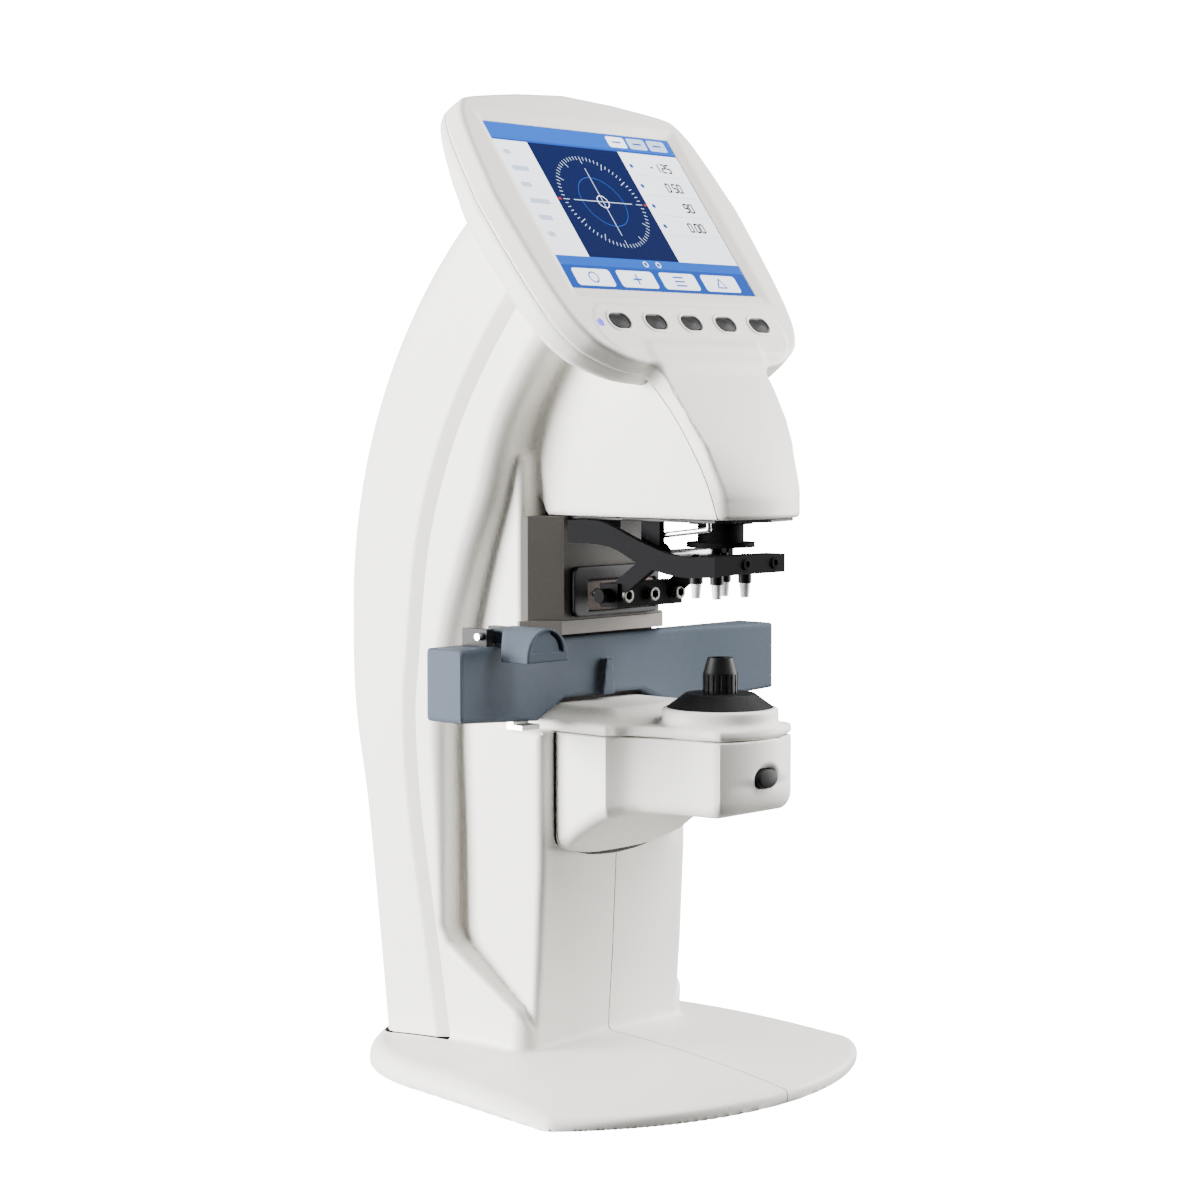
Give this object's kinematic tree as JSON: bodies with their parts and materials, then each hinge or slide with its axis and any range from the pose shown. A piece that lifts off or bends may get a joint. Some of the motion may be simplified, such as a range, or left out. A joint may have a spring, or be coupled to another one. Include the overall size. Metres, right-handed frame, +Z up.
{
  "type": "automatic lensmeter",
  "caption": "Free-standing optician's lensmeter with a tilted screen over a C-shaped stand, sliding lens table, lens rest, press pins and marker.",
  "frame": {"origin": "centre of the footprint on the surface that the stand rests on", "axes": "+Z up, -Y towards the user, +X to the user's right"},
  "size_m": [0.198, 0.2108, 0.4169],
  "materials": {
    "white_shell": "warm off-white satin moulding",
    "bezel_shell": "slightly greyer satin moulding",
    "screen": "lit screen under a matt cover",
    "indicator": "blue light",
    "key_plastic": "dark grey key",
    "circuit_board": "green board",
    "rubber": "black rubber",
    "liner_grey": "warm grey plastic",
    "black_plastic": "black satin plastic",
    "black_metal": "black coated metal",
    "blue_grey": "blue-grey satin plastic",
    "steel": "bright steel",
    "brass": "sintered bronze",
    "clear_tip": "translucent white tip",
    "optic_glass": "coated lens"
  },
  "bodies": {
    "stand": {"left_housing": "white_shell", "right_housing": "white_shell", "rear_cover": "white_shell", "front_cover": "bezel_shell", "display_rear_shell": "white_shell", "lcd_panel": "screen", "status_led": "indicator", "keypad_board": "circuit_board", "base_plate": "steel", "rubber_feet": "rubber", "mouth_liner": "liner_grey", "ledge_plate": "liner_grey", "arm_housing": "white_shell", "arm_top_cover": "white_shell", "read_switch": "black_plastic", "lens_rest_flange": "black_plastic", "lens_rest_nose": "black_plastic", "lower_optics": "black_plastic", "sensor_board": "circuit_board", "table_bushes": "brass", "press_guide": "steel", "marker_brackets": "black_metal", "marker_pin": "steel", "ink_pad": "black_plastic", "mechanism_plate": "black_metal", "upper_barrel": "black_metal", "collimator_lens": "optic_glass", "light_source": "circuit_board", "chassis_frame": "steel", "main_board": "circuit_board", "power_supply": "steel", "power_inlet": "black_plastic", "switch_frame": "black_plastic", "housing_screws": "steel"},
    "table": {"lens_table": "blue_grey", "table_rods": "steel", "table_bracket": "steel", "nose_rest_bracket": "black_plastic", "nose_rest_pin": "steel"},
    "nose_rest": {"nose_rest": "blue_grey"},
    "press": {"press_carriage": "black_metal", "press_pins": "black_plastic", "press_tips": "clear_tip"},
    "marker": {"marker_arm": "black_plastic", "marker_pens": "steel"},
    "read_button": {"read_button": "key_plastic"},
    "power_rocker": {"power_rocker": "black_plastic"},
    "key_1": {"key_1": "key_plastic"},
    "key_2": {"key_2": "key_plastic"},
    "key_3": {"key_3": "key_plastic"},
    "key_4": {"key_4": "key_plastic"},
    "key_5": {"key_5": "key_plastic"}
  },
  "joints": [
    {"name": "table_slide", "type": "slide", "parent": "stand", "child": "table", "axis": [0, -1, 0], "range_m": [0, 0.022]},
    {"name": "nose_rest_flip", "type": "hinge", "parent": "table", "child": "nose_rest", "pos_m": [-0.07, -0.009, 0.1905], "axis": [-1, 0, 0], "range_deg": [0, 95]},
    {"name": "press_lower", "type": "slide", "parent": "stand", "child": "press", "axis": [0, 0, -1], "range_m": [0, 0.022]},
    {"name": "marker_swing", "type": "hinge", "parent": "stand", "child": "marker", "pos_m": [0, -0.05075, 0.22275], "axis": [1, 0, 0], "range_deg": [-90, 0]},
    {"name": "read_press", "type": "slide", "parent": "stand", "child": "read_button", "axis": [0, 1, 0], "range_m": [0, 0.001], "stiffness_N_per_m": 400},
    {"name": "power_rock", "type": "hinge", "parent": "stand", "child": "power_rocker", "pos_m": [0.02, 0.0884, 0.04], "axis": [-1, 0, 0], "range_deg": [0, 14]},
    {"name": "key_1_press", "type": "slide", "parent": "stand", "child": "key_1", "axis": [0, 0.8078, -0.5895], "range_m": [0, 0.001], "stiffness_N_per_m": 300},
    {"name": "key_2_press", "type": "slide", "parent": "stand", "child": "key_2", "axis": [0, 0.8078, -0.5895], "range_m": [0, 0.001], "stiffness_N_per_m": 300},
    {"name": "key_3_press", "type": "slide", "parent": "stand", "child": "key_3", "axis": [0, 0.8078, -0.5895], "range_m": [0, 0.001], "stiffness_N_per_m": 300},
    {"name": "key_4_press", "type": "slide", "parent": "stand", "child": "key_4", "axis": [0, 0.8078, -0.5895], "range_m": [0, 0.001], "stiffness_N_per_m": 300},
    {"name": "key_5_press", "type": "slide", "parent": "stand", "child": "key_5", "axis": [0, 0.8078, -0.5895], "range_m": [0, 0.001], "stiffness_N_per_m": 300}
  ]
}
